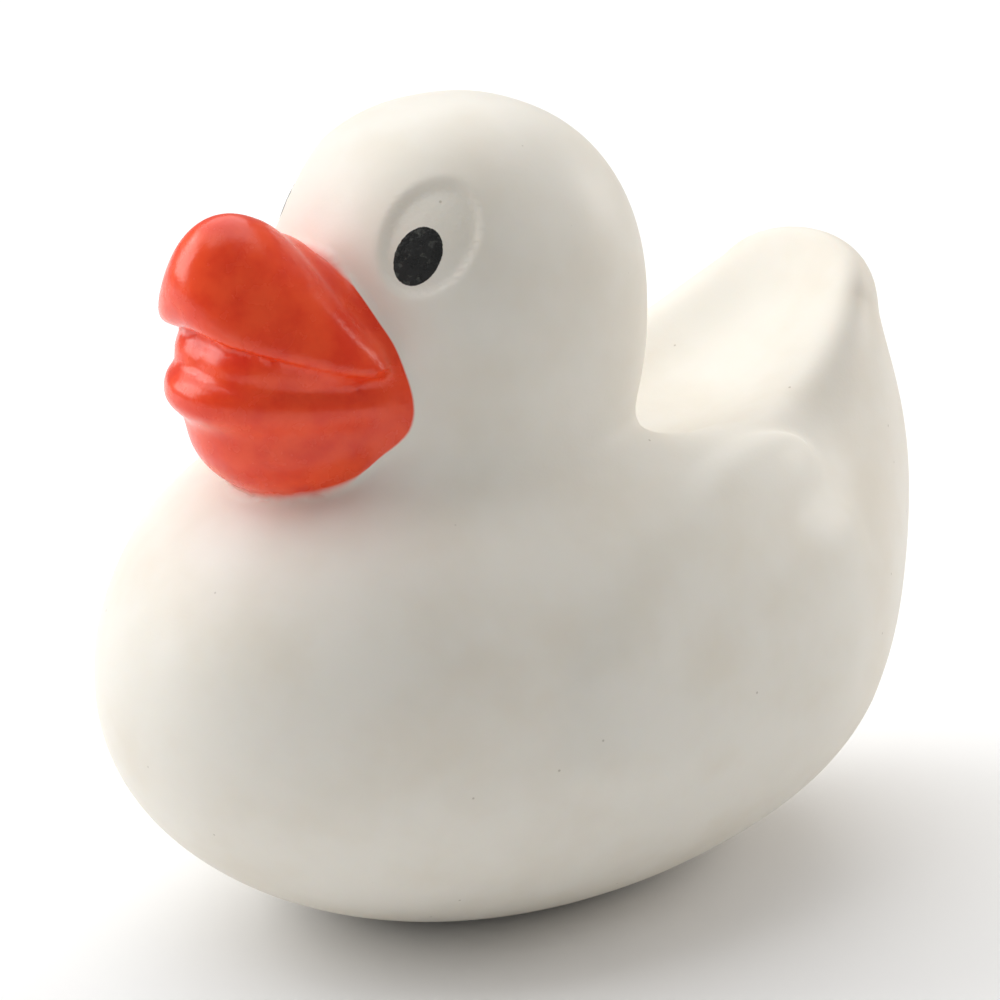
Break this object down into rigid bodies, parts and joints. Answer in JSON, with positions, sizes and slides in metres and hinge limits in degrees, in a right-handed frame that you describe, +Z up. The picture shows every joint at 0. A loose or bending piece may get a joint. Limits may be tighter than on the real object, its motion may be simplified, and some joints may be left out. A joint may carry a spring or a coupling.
{
  "type": "rubber duck",
  "caption": "Hollow soft vinyl bath duck with a painted open bill, recessed eyes, layered wings, an upswept fan tail and a squeaker in its flat base.",
  "frame": {"origin": "middle of the object's box on the surface it stands on", "axes": "+Z up, -Y the way the duck faces, +X its left side; +Y, from bill to tail, is the longest extent"},
  "size_m": [0.0628, 0.0945, 0.081],
  "materials": {
    "white_vinyl": "soft matte moulded vinyl, warm white; bill sprayed gloss orange-red, pupils black",
    "squeaker_plastic": "satin natural polyethylene",
    "reed_film": "thin clear polyester strip"
  },
  "bodies": {
    "root": {"duck_shell": "white_vinyl", "squeaker_plug": "squeaker_plastic", "reed_anvil": "squeaker_plastic", "squeaker_reed": "reed_film"}
  },
  "joints": []
}
